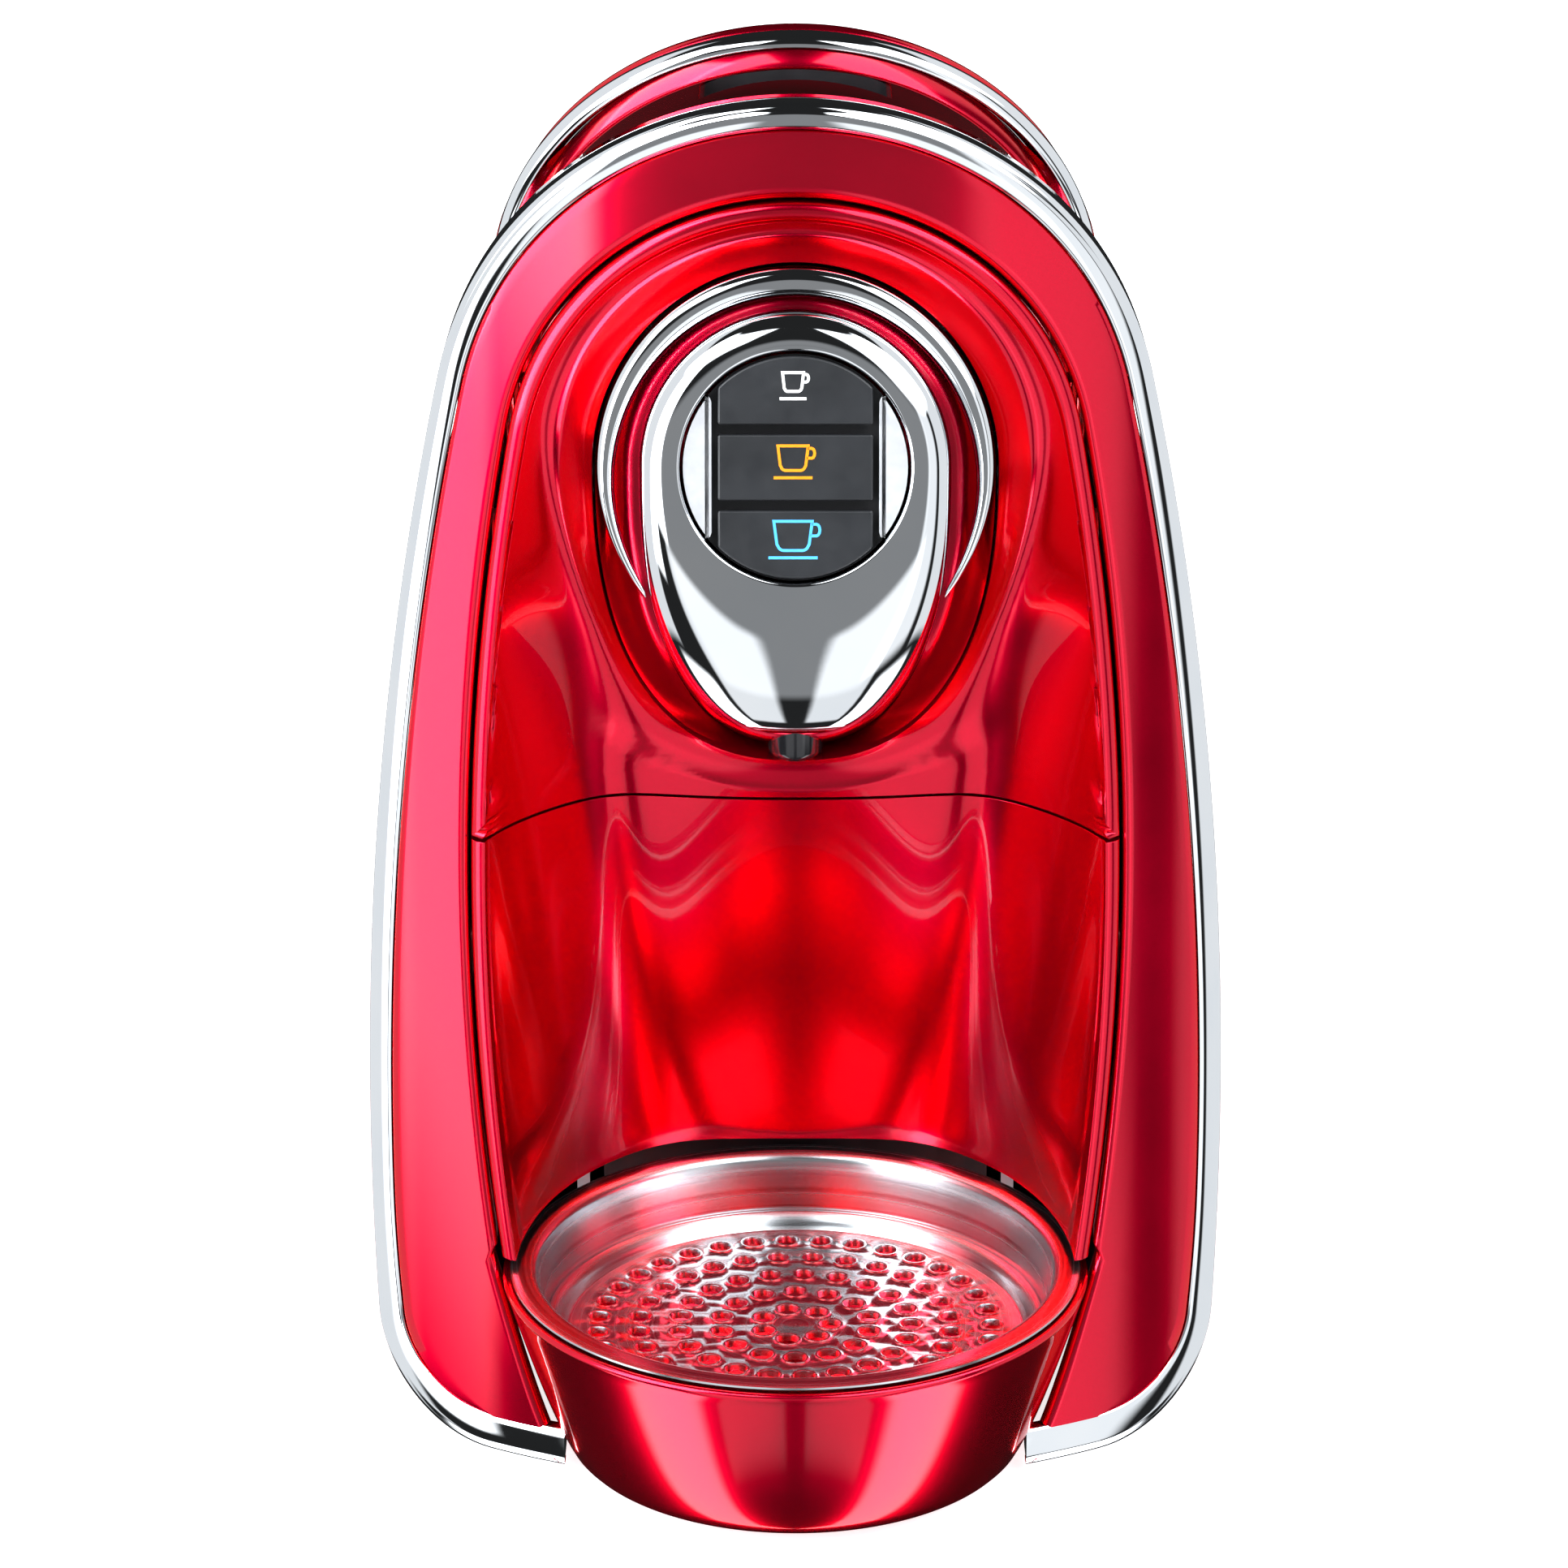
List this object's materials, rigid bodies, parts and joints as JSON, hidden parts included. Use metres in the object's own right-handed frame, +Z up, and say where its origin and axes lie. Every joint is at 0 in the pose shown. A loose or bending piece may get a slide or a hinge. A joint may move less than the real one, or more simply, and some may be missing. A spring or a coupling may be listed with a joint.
{
  "type": "capsule coffee machine",
  "caption": "Compact capsule coffee machine with loop lever, brew head with keys, pull-out drawer with round drip tray, and lift-off water tank.",
  "frame": {"origin": "bottom centre of the whole machine, on the surface it stands on", "axes": "X across the width, -Y towards the user, +Z up"},
  "size_m": [0.16, 0.37, 0.2595],
  "materials": {
    "red_gloss": "high gloss candy red, clear coated",
    "chrome": "bright chrome plating",
    "key_black": "fine satin",
    "black_plastic": "fine spark-eroded grain",
    "rubber": "matt",
    "stainless": "brushed",
    "zinc_steel": "zinc plated",
    "silver_inlay": "satin silver",
    "aluminium": "die cast",
    "pump_shell": "painted",
    "brass": "turned",
    "ceramic_white": "matt",
    "silicone_hose": "milky silicone",
    "circuit_green": "solder mask",
    "tank_smoke": "smoky clear moulding"
  },
  "bodies": {
    "housing": {"base_plate": "black_plastic", "rubber_feet": "rubber", "base_screws": "zinc_steel", "fascia_frame": "red_gloss", "fascia_trim": "chrome", "upper_panel": "red_gloss", "brew_ring": "chrome", "head_neck": "red_gloss", "head_cover": "chrome", "key_carrier": "black_plastic", "key_inlays": "silver_inlay", "key_board": "circuit_green", "coffee_duct": "black_plastic", "spout": "black_plastic", "side_shell_left": "red_gloss", "side_shell_right": "red_gloss", "top_cover": "red_gloss", "capsule_chute": "black_plastic", "rear_panel": "black_plastic", "cord_gland": "rubber", "switch_housing": "black_plastic", "chassis": "zinc_steel", "brew_block": "black_plastic", "brew_seal": "rubber", "guide_rods": "stainless", "lever_bushes": "brass", "pump": "pump_shell", "pump_mounts": "rubber", "heater": "aluminium", "heater_fuse": "ceramic_white", "flow_meter": "black_plastic", "tank_hose": "silicone_hose", "pump_hose": "silicone_hose", "brew_hose": "silicone_hose", "control_board": "circuit_green", "drawer_rails": "zinc_steel", "tank_socket": "black_plastic"},
    "lever": {"lever_arch": "chrome", "lever_back": "red_gloss", "lever_shaft": "stainless", "lever_pinions": "zinc_steel", "lever_screws": "zinc_steel"},
    "piston": {"piston_carriage": "black_plastic", "piston_head": "stainless", "piston_racks": "zinc_steel"},
    "drawer": {"lower_panel": "red_gloss", "drawer_base": "black_plastic", "capsule_bin": "black_plastic"},
    "tray": {"tray_bowl": "red_gloss", "tray_dish": "stainless"},
    "grille": {"tray_grille": "stainless"},
    "key_small": {"key_small": "key_black"},
    "key_medium": {"key_medium": "key_black"},
    "key_large": {"key_large": "key_black"},
    "power_rocker": {"power_rocker": "key_black"},
    "tank": {"water_tank": "tank_smoke", "tank_strainer": "stainless", "valve_spring": "stainless"},
    "tank_lid": {"tank_lid": "black_plastic"},
    "tank_valve": {"tank_valve": "stainless"}
  },
  "joints": [
    {"name": "lever_hinge", "type": "hinge", "parent": "housing", "child": "lever", "pos_m": [0, -0.0255, 0.145], "axis": [-1, 0, 0], "range_deg": [0, 50]},
    {"name": "piston_slide", "type": "slide", "parent": "housing", "child": "piston", "axis": [0, 1, 0], "range_m": [0, 0.0184]},
    {"name": "drawer_slide", "type": "slide", "parent": "housing", "child": "drawer", "axis": [0, -1, 0], "range_m": [0, 0.11]},
    {"name": "tray_slide", "type": "slide", "parent": "drawer", "child": "tray", "axis": [0, -1, 0], "range_m": [0, 0.05]},
    {"name": "grille_lift", "type": "slide", "parent": "tray", "child": "grille", "axis": [0, 0, 1], "range_m": [0, 0.03]},
    {"name": "small_key_press", "type": "slide", "parent": "housing", "child": "key_small", "axis": [0, 0.9659, -0.2588], "range_m": [0, 0.0015], "stiffness_N_per_m": 800},
    {"name": "medium_key_press", "type": "slide", "parent": "housing", "child": "key_medium", "axis": [0, 0.9659, -0.2588], "range_m": [0, 0.0015], "stiffness_N_per_m": 800},
    {"name": "large_key_press", "type": "slide", "parent": "housing", "child": "key_large", "axis": [0, 0.9659, -0.2588], "range_m": [0, 0.0015], "stiffness_N_per_m": 800},
    {"name": "power_rocker_hinge", "type": "hinge", "parent": "housing", "child": "power_rocker", "pos_m": [0.068, 0.0745, 0.06], "axis": [0, 0, -1], "range_deg": [0, 16]},
    {"name": "tank_lift", "type": "slide", "parent": "housing", "child": "tank", "axis": [0, 0, 1], "range_m": [0, 0.2]},
    {"name": "tank_lid_hinge", "type": "hinge", "parent": "tank", "child": "tank_lid", "pos_m": [0, 0.1815, 0.1995], "axis": [-1, 0, 0], "range_deg": [0, 100]},
    {"name": "tank_valve_slide", "type": "slide", "parent": "tank", "child": "tank_valve", "axis": [0, 0, 1], "range_m": [0, 0.003], "stiffness_N_per_m": 150, "deforming": ["valve_spring"]}
  ],
  "couplings": [
    {"joint": "piston_slide", "follows": "lever_hinge", "m_per_rad": 0.021}
  ]
}
